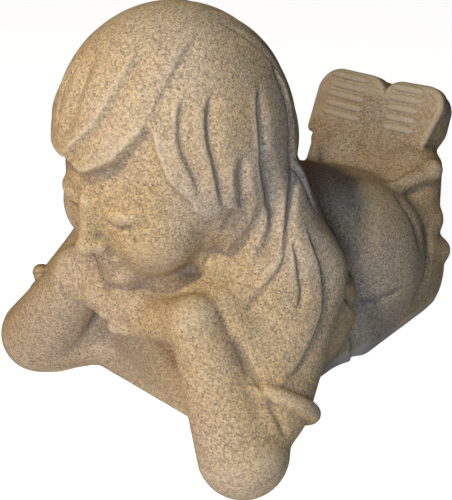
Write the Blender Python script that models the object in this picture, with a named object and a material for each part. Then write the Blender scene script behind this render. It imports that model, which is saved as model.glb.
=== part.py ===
"""Garden statue of a child lying on its front, chin on its hands, cast in one piece.

Lengths are metres and +Z is up. The child faces -Y, its left side is +X, and it lies
on the flat underside at z = 0. The sculpture is worked in head widths: every mass, pose
and carved line is a share of the one driving size, head_width.
"""

import math

import bmesh
import bpy
import numpy as np
from mathutils import Matrix, Vector

# Driving sizes
head_width = 0.17  # across the hair, the unit that the sculptor works in
voxel = 0.0125  # finest grain of the working clay, in head widths
face_budget = 9600  # triangles of the finished solid

# Pose, in head widths
head_centre = Vector((-0.005, 0.315, 1.105))
head_pitch = 18.0  # degrees that the face is bowed towards the ground
head_roll = 5.0  # degrees that the head leans to the child's right
elbow = Vector((0.618, 0.0, 0.15))
wrist = Vector((0.30, 0.03, 0.57))
left_wrist = Vector((0.36, 0.03, 0.60))
shoulder = Vector((0.43, 0.52, 0.62))
cuff = Vector((0.605, 0.165, 0.28))
hip = Vector((0.22, 1.34, 0.25))
knee = Vector((0.23, 1.65, 0.20))
ankle = Vector((0.20, 1.77, 0.60))

LEFT, RIGHT = 1, -1


def turned(degrees, axis):
    return Matrix.Rotation(math.radians(degrees), 3, axis)


head_turn = turned(head_roll, "Y") @ turned(head_pitch, "X")


def mirrored(point, side):
    return Vector((point[0] * side, point[1], point[2]))


def on_head(x, y, z):
    """A place given in the head's own frame, nose towards -y and crown towards +z."""
    return head_centre + head_turn @ Vector((x, y, z))


def placed(centre, turn, size):
    return Matrix.Translation(centre) @ Matrix(turn).to_4x4() @ Matrix.Diagonal((*size, 1))


class Ball:
    """An ellipsoid mass."""

    def __init__(self, centre, radii, turn=None):
        self.centre, self.radii = np.array(centre, float), np.array(radii, float)
        self.turn = np.array(turn or Matrix.Identity(3), float)
        self.reach = self.radii.max()

    def depth(self, points):
        local = (points - self.centre) @ self.turn
        near = np.linalg.norm(local / self.radii, axis=1)
        far = np.linalg.norm(local / self.radii**2, axis=1)
        return near * (near - 1) / np.maximum(far, 1e-9)

    def block(self, bm):
        place = placed(self.centre, self.turn, self.radii)
        bmesh.ops.create_icosphere(bm, subdivisions=3, radius=1, matrix=place)


class Limb:
    """A tapered mass with round ends."""

    def __init__(self, start, end, start_radius, end_radius):
        self.start, self.end = np.array(start, float), np.array(end, float)
        self.radii = (start_radius, end_radius)
        self.centre = (self.start + self.end) / 2
        self.reach = np.linalg.norm(self.end - self.start) / 2 + max(self.radii)

    def depth(self, points):
        axis = self.end - self.start
        share = np.clip((points - self.start) @ axis / (axis @ axis), 0, 1)
        radius = self.radii[0] + (self.radii[1] - self.radii[0]) * share
        return np.linalg.norm(points - self.start - share[:, None] * axis, axis=1) - radius

    def block(self, bm):
        for place, radius in zip((self.start, self.end), self.radii):
            bmesh.ops.create_icosphere(bm, subdivisions=3, radius=radius, matrix=Matrix.Translation(place))
        axis = Vector(self.end - self.start)
        turn = axis.to_track_quat("Z", "Y").to_matrix().to_4x4()
        bmesh.ops.create_cone(
            bm, cap_ends=True, segments=24, radius1=self.radii[0], radius2=self.radii[1],
            depth=axis.length, matrix=Matrix.Translation(self.centre) @ turn,
        )


class Slab:
    """A block with rounded edges."""

    def __init__(self, centre, half, rounding, turn=None):
        self.centre, self.half, self.rounding = np.array(centre, float), np.array(half, float), rounding
        self.turn = np.array(turn or Matrix.Identity(3), float)
        self.reach = np.linalg.norm(self.half)

    def depth(self, points):
        away = np.abs((points - self.centre) @ self.turn) - self.half + self.rounding
        outside = np.linalg.norm(np.maximum(away, 0), axis=1)
        return outside + np.minimum(away.max(axis=1), 0) - self.rounding

    def block(self, bm):
        place = placed(self.centre, self.turn, self.half)
        bmesh.ops.create_cube(bm, size=2, matrix=place)


class Plate:
    """A flat sole with softened edges: square at the heel, rounded and wider at the toe."""

    def __init__(self, centre, half, corner, taper, rounding, turn=None):
        self.centre, self.half = np.array(centre, float), np.array(half, float)
        self.corner, self.taper, self.rounding = corner, taper, rounding
        self.turn = np.array(turn or Matrix.Identity(3), float)
        self.reach = np.linalg.norm(self.half)

    def depth(self, points):
        local = (points - self.centre) @ self.turn
        toe = np.clip(local[:, 2] / self.half[2], -1, 1)
        corner = 0.03 + (self.corner - 0.03) * ease(toe + 0.5)
        away = np.abs(local) - self.half
        away[:, 0] -= self.taper * toe
        across = away[:, (0, 2)] + corner[:, None]
        outside = np.linalg.norm(np.maximum(across, 0), axis=1)
        flat = outside + np.minimum(across.max(axis=1), 0) - corner
        away = np.stack([flat, away[:, 1]], axis=1) + self.rounding
        return np.linalg.norm(np.maximum(away, 0), axis=1) + np.minimum(away.max(axis=1), 0) - self.rounding

    def block(self, bm):
        place = placed(self.centre, self.turn, self.half)
        bmesh.ops.create_cube(bm, size=2, matrix=place)


class Ring:
    """A rolled edge, such as a cuff, that runs round a limb."""

    def __init__(self, centre, axis, radius, thickness):
        self.centre, self.axis = np.array(centre, float), np.array(Vector(axis).normalized(), float)
        self.radius, self.thickness = radius, thickness
        self.reach = radius + thickness

    def depth(self, points):
        local = points - self.centre
        along = local @ self.axis
        out = np.sqrt(np.maximum((local**2).sum(axis=1) - along**2, 0)) - self.radius
        return np.hypot(along, out) - self.thickness

    def block(self, bm):
        turn = Vector(self.axis).to_track_quat("Z", "Y").to_matrix().to_4x4()
        place = Matrix.Translation(self.centre) @ turn
        for step in range(24):
            swing = Matrix.Rotation(step * math.tau / 24, 4, "Z")
            bead = place @ swing @ Matrix.Translation((self.radius, 0, 0))
            bmesh.ops.create_icosphere(bm, subdivisions=2, radius=self.thickness * 1.2, matrix=bead)


def melt(one, other, width):
    """The lesser of two depths, rounded over where they come within width of each other."""
    overlap = np.maximum(width - np.abs(one - other), 0) / width
    return np.minimum(one, other) - overlap**2 * width / 4


class Clay:
    """How far each of some points lies outside the modelled lump, in head widths."""

    def __init__(self, points):
        self.points = points
        self.depth = np.full(len(points), 9.0)

    def near(self, shape, margin):
        return np.flatnonzero(((self.points - shape.centre) ** 2).sum(axis=1) < (shape.reach + margin) ** 2)

    def add(self, shape, width=0.06):
        found = self.near(shape, width + 0.25)
        self.depth[found] = melt(self.depth[found], shape.depth(self.points[found]), width)

    def take(self, shape, width=0.03):
        found = self.near(shape, width + 0.25)
        self.depth[found] = -melt(-self.depth[found], shape.depth(self.points[found]), width)


def smooth_path(corners, steps=6):
    """Points of a smooth curve through the corners."""
    knots = [Vector(c) for c in corners]
    knots = [2 * knots[0] - knots[1], *knots, 2 * knots[-1] - knots[-2]]
    path = []
    for a, b, c, d in zip(knots, knots[1:], knots[2:], knots[3:]):
        for step in range(steps):
            t = step / steps
            bend = (2 * a - 5 * b + 4 * c - d) * t**2 + (3 * b - a - 3 * c + d) * t**3
            path.append(0.5 * (2 * b + (c - a) * t + bend))
    return np.array([*path, knots[-2]], float)


def ease(share):
    share = np.clip(share, 0, 1)
    return share * share * (3 - 2 * share)


class Line:
    """A carved line on the surface: how far a point is along it, beside it and above it."""

    def __init__(self, corners, core):
        self.path = smooth_path(corners)
        self.core = core
        self.centre = (self.path.min(axis=0) + self.path.max(axis=0)) / 2
        self.reach = np.linalg.norm(self.path - self.centre, axis=1).max()

    def measure(self, points):
        best = np.full(len(points), 9.0)
        along, beside, above = np.zeros(len(points)), np.zeros(len(points)), np.zeros(len(points))
        last = len(self.path) - 1
        for index, (start, end) in enumerate(zip(self.path, self.path[1:])):
            axis = end - start
            share = np.clip((points - start) @ axis / (axis @ axis), 0, 1)
            away = points - start - share[:, None] * axis
            distance = (away**2).sum(axis=1)
            closer = distance < best
            outward = (start + end) / 2 - self.core(start)
            outward /= np.linalg.norm(outward)
            sideways = np.cross(axis, outward)
            sideways /= np.linalg.norm(sideways)
            best = np.where(closer, distance, best)
            along = np.where(closer, (index + share) / last, along)
            beside = np.where(closer, away @ sideways, beside)
            above = np.where(closer, away @ outward, above)
        return along, beside, above, np.sqrt(best)


def torso():
    yield Ball((0, 0.54, 0.38), (0.46, 0.38, 0.40)), 0.1
    yield Ball((0, 0.92, 0.22), (0.42, 0.55, 0.36)), 0.1
    yield Slab((0, 0.90, 0.08), (0.435, 0.765, 0.20), 0.16), 0.1
    yield Slab((0, 1.33, 0.09), (0.485, 0.48, 0.21), 0.20), 0.1
    yield Ball((0, 0.32, 0.46), (0.32, 0.26, 0.24)), 0.08
    yield Ball((0, 0.27, 0.30), (0.40, 0.19, 0.27)), 0.06
    for side in (LEFT, RIGHT):
        yield Limb(mirrored((0.10, 0.20, 0.54), side), mirrored((0.38, 0.28, 0.60), side), 0.12, 0.13), 0.06
    yield Limb((0.0, 0.12, 0.58), (0.33, 0.17, 0.615), 0.09, 0.09), 0.04
    for side in (LEFT, RIGHT):
        yield Ball(mirrored((0.39, 0.66, 0.40), side), (0.20, 0.24, 0.30)), 0.12


# Hem folds of the dress round each thigh: radius half way, radius at the ends, and three places
hem_folds = (
    (0.044, 0.03, (0.24, 1.50, 0.60), (0.34, 1.72, 0.665), (0.26, 1.86, 0.64)),
    (0.070, 0.04, (0.29, 1.52, 0.48), (0.335, 1.73, 0.39), (0.24, 1.82, 0.34)),
    (0.055, 0.04, (0.38, 1.53, 0.36), (0.41, 1.73, 0.24), (0.30, 1.82, 0.20)),
)


def seat():
    for side in (LEFT, RIGHT):
        yield Ball(mirrored((0.21, 1.29, 0.34), side), (0.27, 0.37, 0.34)), 0.1
        yield Limb(mirrored(hip, side), mirrored(knee, side), 0.27, 0.21), 0.1
    yield Ball((0, 1.27, 0.40), (0.32, 0.38, 0.275)), 0.1
    yield Ball((0, 1.52, 0.42), (0.37, 0.24, 0.2)), 0.08
    yield Ball((0, 1.76, 0.60), (0.22, 0.11, 0.1)), 0.05


def legs():
    for side in (LEFT, RIGHT):
        yield Limb(mirrored(knee, side), mirrored(ankle, side), 0.20, 0.15), 0.06
        for thick, thin, *fold in hem_folds:
            middle, end = mirrored(fold[1], side), mirrored(fold[2], side)
            yield Limb(mirrored(fold[0], side), middle, thin, thick), 0.035
            yield Limb(middle, end, thick, thin), 0.035


sole_lean = 24.0  # degrees that the soles lean back from upright
sole_heel = Vector((0, 1.69, 0.70))
# Each shoe: width of the sole, turn about the upright, side of the middle it lies on, and how
# much wider the sole is at the toe on each edge
shoe_pair = ((0.43, 0.0, RIGHT, 0.0), (0.30, 8.0, LEFT, 0.045))
sole_length = 0.36
rib_pitch = 0.047


def shoe_frame(width, turn_out, side):
    """Turn and heel-end middle of a sole; local x runs across it, z towards the toe."""
    turn = turned(turn_out, "Z") @ turned(-sole_lean, "X")
    return turn, sole_heel + turn @ Vector((side * width / 2, 0, 0))


def shoes():
    for width, turn_out, side, spread in shoe_pair:
        turn, heel = shoe_frame(width, turn_out, side)
        half = width / 2 - 0.002

        def at(x, y, z):
            return heel + turn @ Vector((x, y, z))

        yield Plate(at(0, 0.05, sole_length / 2), (half, 0.05, sole_length / 2), 0.13, spread, 0.025, turn), 0.012
        yield Slab(at(0, 0.15, 0.20), (half + 0.01, 0.12, 0.15), 0.11, turn), 0.03
        yield Slab(at(0, 0.16, 0.05), (half - 0.035, 0.12, 0.18), 0.08, turn), 0.04
        yield Slab(at(0, 0.17, -0.06), (half - 0.01, 0.12, 0.12), 0.06, turn), 0.02
    yield Slab(at(-width / 2 + 0.02, 0.10, 0.02), (0.09, 0.095, 0.13), 0.06, turn), 0.03


def arms():
    for side in (LEFT, RIGHT):
        yield Limb(mirrored(shoulder, side), mirrored(elbow, side), 0.18, 0.16), 0.06
    yield Limb((-0.56, 0.06, 0.12), (-0.34, 0.3, 0.16), 0.15, 0.15), 0.08
    yield Limb((0.40, 0.15, 0.62), (0.57, 0.15, 0.40), 0.08, 0.10), 0.05


def sleeves():
    for side in (LEFT, RIGHT):
        yield Limb(mirrored(shoulder, side), mirrored(cuff, side), 0.22, 0.16), 0.06
        yield Ring(mirrored(cuff, side), mirrored(elbow - shoulder, side), 0.168, 0.036), 0.015


def forearms():
    yield Limb(mirrored(elbow, RIGHT), mirrored(wrist, RIGHT), 0.178, 0.115), 0.02
    yield Limb(elbow, left_wrist, 0.178, 0.10), 0.02


def hands():
    yield Limb(mirrored(wrist, RIGHT), (-0.13, 0.02, 0.555), 0.12, 0.095), 0.04
    yield Limb((-0.13, 0.02, 0.555), (0.06, 0.01, 0.56), 0.095, 0.06), 0.04
    yield Limb(left_wrist, (0.10, 0.03, 0.51), 0.10, 0.08), 0.03
    for reach, height, thick in ((-0.06, 0.52, 0.04), (-0.01, 0.468, 0.036)):
        yield Limb((0.12, 0.02, height + 0.01), (reach, -0.045, height), thick * 1.3, thick), 0.02


def skull():
    yield Ball(on_head(0, 0.02, 0.08), (0.375, 0.43, 0.46), head_turn), 0.03
    yield Ball(on_head(0, -0.14, -0.05), (0.335, 0.32, 0.34), head_turn), 0.06
    yield Ball(on_head(0, -0.27, -0.22), (0.21, 0.165, 0.14), head_turn), 0.08
    yield Limb(on_head(0, 0.08, -0.20), (0, 0.50, 0.55), 0.2, 0.24), 0.08
    for side in (LEFT, RIGHT):
        yield Ball(mirrored((0.27, 0.26, 0.75), side), (0.08, 0.09, 0.07)), 0.05


def face():
    for side in (LEFT, RIGHT):
        yield Ball(on_head(0.165 * side, -0.31, -0.12), (0.13, 0.125, 0.13), head_turn), 0.08
        lid = head_turn @ turned(20 * side, "Z")
        yield Ball(on_head(0.138 * side, -0.398, 0.045), (0.074, 0.042, 0.044), lid), 0.02
        yield Ball(on_head(0.04 * side, -0.475, -0.098), (0.028, 0.034, 0.025), head_turn), 0.015
        yield Ball(on_head(0.03 * side, -0.447, -0.178), (0.056, 0.022, 0.016), head_turn), 0.016
    yield Limb(on_head(0, -0.445, 0.08), on_head(0, -0.505, -0.075), 0.023, 0.032), 0.045
    yield Ball(on_head(0, -0.518, -0.09), (0.034, 0.034, 0.032), head_turn), 0.02
    yield Ball(on_head(0, -0.446, -0.214), (0.062, 0.024, 0.019), head_turn), 0.016
    yield Ball(on_head(0, -0.415, -0.292), (0.095, 0.07, 0.06), head_turn), 0.06


def falling_hair():
    for side in (LEFT, RIGHT):
        yield Limb(mirrored((0.29, 0.48, 1.0), side), mirrored((0.40, 0.46, 0.70), side), 0.14, 0.18), 0.08
        yield Limb(mirrored((0.40, 0.42, 0.70), side), mirrored((0.50, 0.31, 0.42), side), 0.20, 0.135), 0.08
        yield Limb(mirrored((0.2, 0.54, 0.92), side), mirrored((0.28, 0.66, 0.60), side), 0.22, 0.2), 0.1
        yield Limb(mirrored((0.33, 0.41, 1.10), side), mirrored((0.36, 0.41, 0.86), side), 0.11, 0.11), 0.05
    yield Limb((0, 0.54, 0.95), (0, 0.76, 0.66), 0.28, 0.24), 0.1


hair_ball = Ball(on_head(0, 0.02, 0.03), (0.452, 0.495, 0.55), head_turn)

# The edge of the hair round the face: degrees round the head to its left, degrees up
hairline = (
    (42, 42), (36, 37), (29, 33), (22, 28), (13, 24), (3, 20), (-13, 21), (-30, 19), (-52, 14), (-70, 6),
    (-80, -5), (-84, -25), (-84, -70), (56, -70), (60, -45), (64, -30), (67, -20), (70, -15), (75, -10),
    (74, -4), (68, -1), (60, -2), (55, 3), (55, 7), (50, 14), (47, 19), (45, 29), (44, 37),
)

# Lines between the locks over the head, in the same two angles
partings = (
    ((-24, 68), (-10, 57), (-12, 46), (-16, 34), (-19, 24)),
    ((48, 80), (32, 67), (20, 50), (5, 35), (-9, 25)),
    ((107, 66), (82, 63), (60, 53), (43, 42)),
    ((69, 49), (59, 38), (57, 29), (58, 20), (58, 8)),
    ((85, 45), (74, 36), (70, 24), (69, 12), (67, 1)),
    ((112, 34), (98, 23), (91, 9), (89, -7), (90, -26)),
    ((83, 17), (80, 9), (78, -2)),
    ((118, 16), (113, 4), (112, -11), (108, -30)),
    ((-52, 60), (-46, 40), (-52, 24), (-58, 8)),
    ((-88, 58), (-74, 34), (-70, 12), (-68, -16)),
    ((-112, 46), (-100, 20), (-94, 0), (-92, -20)),
    ((138, 62), (135, 35), (134, 8), (134, -20)),
    ((165, 66), (160, 40), (158, 10), (158, -18)),
    ((-166, 66), (-168, 38), (-170, 8), (-171, -18)),
    ((-138, 62), (-140, 36), (-144, 8), (-145, -18)),
)


def on_hair(around, up):
    around, up = math.radians(around), math.radians(up)
    level = math.cos(up)
    direction = np.array((level * math.sin(around), -level * math.cos(around), math.sin(up)))
    return hair_ball.centre + hair_ball.turn @ (hair_ball.radii * direction)


def outline_distance(points, corners):
    """Distance to a flat outline, negative inside it."""
    best, inside = np.full(len(points), 99.0), np.zeros(len(points), bool)
    for start, end in zip(corners, np.roll(corners, -1, axis=0)):
        side = end - start
        share = np.clip((points - start) @ side / (side @ side), 0, 1)
        best = np.minimum(best, np.linalg.norm(points - start - share[:, None] * side, axis=1))
        if start[1] != end[1]:
            crossing = start[0] + (points[:, 1] - start[1]) * side[0] / side[1]
            inside ^= ((start[1] > points[:, 1]) != (end[1] > points[:, 1])) & (points[:, 0] < crossing)
    return np.where(inside, -best, best)


def hair_cap(clay, edge=0.04, drop=0.08):
    """The hair over the skull, stepping down to the face inside the hairline."""
    found = clay.near(hair_ball, 0.3)
    local = (clay.points[found] - hair_ball.centre) @ hair_ball.turn / hair_ball.radii
    around = np.degrees(np.arctan2(local[:, 0], -local[:, 1]))
    up = np.degrees(np.arctan2(local[:, 2], np.hypot(local[:, 0], local[:, 1])))
    width = np.cos(np.radians(up)).clip(0.2)
    flat = np.stack([around, up], axis=1)
    into_face = -outline_distance(flat, np.array(hairline, float)) * math.radians(1) * 0.48
    step = drop * ease(into_face / edge + 0.3)
    clay.depth[found] = melt(clay.depth[found], hair_ball.depth(clay.points[found]) + step, 0.01)


# Edges and grooves of the hair beside the neck, over the shoulder and of the dress, on the
# child's left, in head widths
neck_locks = (
    ((0.43, 0.32, 1.26), (0.44, 0.34, 1.13), (0.44, 0.36, 1.02), (0.45, 0.36, 0.92), (0.46, 0.30, 0.85),
     (0.43, 0.25, 0.78)),
    ((0.38, 0.55, 1.32), (0.40, 0.54, 1.18), (0.43, 0.53, 1.07), (0.46, 0.48, 1.00), (0.49, 0.43, 0.93),
     (0.54, 0.31, 0.78)),
)
shoulder_edge = ((0.52, 0.48, 0.92), (0.58, 0.47, 0.82), (0.63, 0.46, 0.71), (0.67, 0.41, 0.58), (0.70, 0.24, 0.46),
                 (0.70, 0.09, 0.41))
shoulder_locks = (
    ((0.50, 0.40, 0.90), (0.56, 0.38, 0.81), (0.59, 0.36, 0.74), (0.61, 0.35, 0.68), (0.61, 0.31, 0.61)),
    ((0.52, 0.37, 0.88), (0.54, 0.33, 0.81), (0.53, 0.29, 0.75), (0.50, 0.23, 0.69), (0.47, 0.18, 0.63)),
)
dress_folds = (
    ((0.63, 0.55, 0.70), (0.60, 0.70, 0.50), (0.52, 0.85, 0.28), (0.45, 0.94, 0.06), (0.43, 0.95, -0.1)),
    ((0.31, 1.42, 0.64), (0.35, 1.45, 0.56), (0.37, 1.47, 0.49), (0.40, 1.47, 0.42), (0.45, 1.42, 0.34)),
    ((0.37, 1.66, 0.40), (0.41, 1.60, 0.36), (0.46, 1.54, 0.27), (0.50, 1.45, 0.17), (0.51, 1.33, 0.10)),
)


def head_core(_):
    return hair_ball.centre


def body_core(place):
    return np.array((place[0] * 0.5, place[1], 0.3))


def face_core(_):
    return np.array(on_head(0, 0, -0.1))


def facing(*outward):
    """A core straight below each place, for lines on a side that faces that way."""
    return lambda place: place - np.array(outward)


hair_end = ((0.66, 0.55, 0.62), (0.50, 0.80, 0.62), (0.26, 0.97, 0.60), (0.0, 1.03, 0.60))
back_locks = (
    ((0.12, 0.72, 1.05), (0.11, 0.88, 0.80), (0.14, 0.98, 0.64)),
    ((0.34, 0.70, 0.95), (0.34, 0.80, 0.75), (0.40, 0.86, 0.60)),
)


def carved_lines():
    """Every carved line with the width and depth of its cut and the reach of its low side."""
    for parting in partings:
        yield Line([on_hair(*corner) for corner in parting], head_core), 0.024, 0.028, 1.0
    for side in (LEFT, RIGHT):
        for lock in neck_locks:
            yield Line([mirrored(corner, side) for corner in lock], facing(0.8 * side, -0.55, 0.15)), 0.024, 0.03, 1.0
        edge = [mirrored(corner, side) for corner in shoulder_edge]
        yield Line(edge, facing(0.85 * side, -0.3, 0.4)), 0.022, 0.02, 3.0 * side
        for lock in shoulder_locks:
            below = facing(0.62 * side, -0.55, 0.45)
            yield Line([mirrored(corner, side) for corner in lock], below), 0.02, 0.024, 1.0
        for fold in dress_folds:
            yield Line([mirrored(corner, side) for corner in fold], body_core), 0.03, 0.028, 1.0
        for lock in back_locks:
            yield Line([mirrored(corner, side) for corner in lock], facing(0.2 * side, 0.8, 0.5)), 0.026, 0.026, 1.0
        lid = ((0.07, -0.45, 0.03), (0.14, -0.455, 0.007), (0.21, -0.43, 0.03))
        yield Line([on_head(x * side, y, z) for x, y, z in lid], face_core), 0.012, 0.016, 1.0
    hem = [mirrored(corner, RIGHT) for corner in hair_end] + [Vector(corner) for corner in hair_end[-2::-1]]
    yield Line(hem, body_core), 0.03, 0.03, -3.0
    mouth = ((-0.10, -0.44, -0.188), (0, -0.47, -0.197), (0.10, -0.44, -0.188))
    yield Line([on_head(*corner) for corner in mouth], face_core), 0.010, 0.012, 1.0


def furrow(points, line, width, cut, lean):
    """Depth cut along a line; a lean above 1 or below -1 draws out the slope of one side."""
    depth = np.zeros(len(points))
    found = np.flatnonzero(((points - line.centre) ** 2).sum(axis=1) < (line.reach + 0.16) ** 2)
    along, beside, above, distance = line.measure(points[found])
    fade = ease(along / 0.25) * ease((1 - along) / 0.25) * ease((0.16 - distance) / 0.06)
    spread = width * (0.5 + 0.5 * fade) * np.where(beside * np.sign(lean) > 0, abs(lean), 1)
    depth[found] = cut * fade * np.exp(-((beside / spread) ** 2))
    return depth


def ribs(points):
    """Grooves between the raised bars across the front half of each sole."""
    depth = np.zeros(len(points))
    for width, turn_out, side, spread in shoe_pair:
        turn, heel = shoe_frame(width, turn_out, side)
        x, y, z = ((points - np.array(heel)) @ np.array(turn)).T
        patch = ease((width / 2 - 0.06 - np.abs(x)) / 0.03) * ease((0.05 - np.abs(y)) / 0.02)
        patch *= ease((z - 0.13) / 0.02) * ease((0.34 - z) / 0.02)
        depth += 0.009 * patch * (1 - np.cos(z * math.tau / rib_pitch))
    return depth


def carved_depth(points):
    depth = ribs(points)
    for line, width, cut, lean in cuts:
        depth = np.maximum(depth, furrow(points, line, width, cut, lean))
    return depth


masses = (torso, seat, legs, shoes, arms, sleeves, falling_hair, skull, face)
shapes = [item for part in masses for item in part()]
cuts = list(carved_lines())


def sculpt(points):
    clay = Clay(points)
    for shape, width in shapes:
        clay.add(shape, width)
    hair_cap(clay)
    for shape, width in (*forearms(), *hands()):
        clay.add(shape, width)
    return clay.depth


def blockout():
    bm = bmesh.new()
    for shape, _ in (*shapes, *forearms(), *hands(), (hair_ball, 0)):
        shape.block(bm)
    mesh = bpy.data.meshes.new("child_statue")
    bm.to_mesh(mesh)
    bm.free()
    return mesh


def remeshed(obj, size):
    """The object's mesh as one skin with an even grain."""
    modifier = obj.modifiers.new("Remesh", "REMESH")
    modifier.mode = "VOXEL"
    modifier.voxel_size = size
    mesh = bpy.data.meshes.new_from_object(obj.evaluated_get(bpy.context.evaluated_depsgraph_get()))
    obj.modifiers.remove(modifier)
    return mesh


def slopes(points, step=0.004):
    depth = sculpt(points)
    return depth, np.stack([(sculpt(points + offset) - depth) / step for offset in np.eye(3) * step], axis=1)


def settle(mesh, carve=False, rounds=3):
    """Moves each vertex onto the clay's surface, and presses it in where a line is carved."""
    points = np.empty(len(mesh.vertices) * 3)
    mesh.vertices.foreach_get("co", points)
    points = points.reshape(-1, 3)
    for _ in range(rounds):
        depth, slope = slopes(points)
        steepness = np.maximum((slope**2).sum(axis=1), 0.2)
        points -= np.clip(depth, -0.05, 0.05)[:, None] * slope / steepness[:, None]
    if carve:
        slope /= np.maximum(np.linalg.norm(slope, axis=1), 0.3)[:, None]
        points -= carved_depth(points)[:, None] * slope
    mesh.vertices.foreach_set("co", points.ravel())
    mesh.update()


def modelled(grains):
    """The skin in head widths, worked from the blocks in finer and finer grain."""
    statue = bpy.data.objects.new("child_statue", blockout())
    bpy.context.collection.objects.link(statue)
    for grain in grains:
        statue.data = remeshed(statue, grain)
        settle(statue.data, carve=grain == grains[-1])
    return statue


def thinned(obj, budget):
    """The object's mesh in no more triangles than the budget."""
    obj.data.calc_loop_triangles()
    modifier = obj.modifiers.new("Decimate", "DECIMATE")
    modifier.ratio = budget / len(obj.data.loop_triangles)
    mesh = bpy.data.meshes.new_from_object(obj.evaluated_get(bpy.context.evaluated_depsgraph_get()))
    obj.modifiers.remove(modifier)
    return mesh


def cut_flat(mesh):
    """Takes off what lies below the ground and closes the flat underside."""
    bm = bmesh.new()
    bm.from_mesh(mesh)
    whole = (*bm.verts, *bm.edges, *bm.faces)
    cut = bmesh.ops.bisect_plane(bm, geom=whole, plane_co=(0, 0, 0), plane_no=(0, 0, -1), clear_outer=True)
    rim = [item for item in cut["geom_cut"] if isinstance(item, bmesh.types.BMEdge)]
    bmesh.ops.triangle_fill(bm, edges=rim, normal=(0, 0, -1))
    bm.to_mesh(mesh)
    bm.free()


def stood_at_origin(mesh):
    """Brings the mesh to real size with the middle of its underside at the origin."""
    corners = [vertex.co for vertex in mesh.vertices]
    middle = [(max(c[axis] for c in corners) + min(c[axis] for c in corners)) / 2 for axis in (0, 1)]
    mesh.transform(Matrix.Scale(head_width, 4) @ Matrix.Translation((-middle[0], -middle[1], 0)))


def cast_stone():
    stone = bpy.data.materials.new("cast stone")
    stone.use_nodes = True
    surface = stone.node_tree.nodes["Principled BSDF"]
    surface.inputs["Base Color"].default_value = (0.42, 0.34, 0.23, 1)
    surface.inputs["Roughness"].default_value = 0.92
    return stone


def child_statue():
    statue = modelled((0.02, voxel))
    statue.data = thinned(statue, face_budget)
    cut_flat(statue.data)
    stood_at_origin(statue.data)
    statue.data.name = statue.name
    statue.data.materials.append(cast_stone())
    return statue


for old in list(bpy.data.objects):
    bpy.data.objects.remove(old)
child_statue()
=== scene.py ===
# A child lying on its front with its chin on its hands, cast in sandy stone.
# The clay is worked in head widths, then stood in metres on the middle of its underside.
# The child faces -Y and its left side is +X.

import math

import bmesh
import bpy
import numpy as np
from mathutils import Matrix, Vector


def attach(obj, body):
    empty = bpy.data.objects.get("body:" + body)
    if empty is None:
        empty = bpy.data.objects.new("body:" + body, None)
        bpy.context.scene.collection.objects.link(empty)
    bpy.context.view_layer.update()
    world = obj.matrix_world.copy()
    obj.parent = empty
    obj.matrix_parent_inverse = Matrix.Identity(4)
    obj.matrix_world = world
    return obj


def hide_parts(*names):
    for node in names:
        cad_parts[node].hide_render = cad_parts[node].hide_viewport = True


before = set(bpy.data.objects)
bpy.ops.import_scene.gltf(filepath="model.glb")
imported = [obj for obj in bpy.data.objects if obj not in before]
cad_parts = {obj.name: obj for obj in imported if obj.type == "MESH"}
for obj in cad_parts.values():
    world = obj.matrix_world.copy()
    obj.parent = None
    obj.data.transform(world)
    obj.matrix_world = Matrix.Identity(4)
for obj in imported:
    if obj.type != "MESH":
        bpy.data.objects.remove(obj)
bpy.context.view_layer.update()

clayWork = dict(
    headWidth=0.17,     # metres across the hair, the unit of every shape below
    roughGrain=0.02,    # first skin over the blocks
    fineGrain=0.0078,   # skin that takes the carving
    quickGrain=0.014,
    triangles=188000,
)

left, right = 1, -1


def turned(degrees, axis):
    return Matrix.Rotation(math.radians(degrees), 3, axis)


def mirrored(point, side):
    return Vector((point[0] * side, point[1], point[2]))


def ease(share):
    share = np.clip(share, 0, 1)
    return share * share * (3 - 2 * share)


def placed(centre, turn, size):
    return Matrix.Translation(centre) @ Matrix(turn).to_4x4() @ Matrix.Diagonal((*size, 1))


# Lumps of clay. Each one gives the depth of points outside it and a rough block to start from

class Ball:
    def __init__(self, centre, radii, turn=None):
        self.centre, self.radii = np.array(centre, float), np.array(radii, float)
        self.turn = np.array(turn or Matrix.Identity(3), float)
        self.reach = self.radii.max()

    def depth(self, points):
        local = (points - self.centre) @ self.turn
        near = np.linalg.norm(local / self.radii, axis=1)
        far = np.linalg.norm(local / self.radii**2, axis=1)
        return near * (near - 1) / np.maximum(far, 1e-9)

    def block(self, bm):
        place = placed(self.centre, self.turn, self.radii)
        bmesh.ops.create_icosphere(bm, subdivisions=3, radius=1, matrix=place)


class Limb:
    # tapered, with round ends
    def __init__(self, start, end, startRadius, endRadius):
        self.start, self.end = np.array(start, float), np.array(end, float)
        self.radii = (startRadius, endRadius)
        self.centre = (self.start + self.end) / 2
        self.reach = np.linalg.norm(self.end - self.start) / 2 + max(self.radii)

    def depth(self, points):
        axis = self.end - self.start
        share = np.clip((points - self.start) @ axis / (axis @ axis), 0, 1)
        radius = self.radii[0] + (self.radii[1] - self.radii[0]) * share
        return np.linalg.norm(points - self.start - share[:, None] * axis, axis=1) - radius

    def block(self, bm):
        for place, radius in zip((self.start, self.end), self.radii):
            end = Matrix.Translation(place)
            bmesh.ops.create_icosphere(bm, subdivisions=3, radius=radius, matrix=end)
        axis = Vector(self.end - self.start)
        turn = axis.to_track_quat("Z", "Y").to_matrix().to_4x4()
        bmesh.ops.create_cone(
            bm, cap_ends=True, segments=24, radius1=self.radii[0], radius2=self.radii[1],
            depth=axis.length, matrix=Matrix.Translation(self.centre) @ turn,
        )


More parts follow.
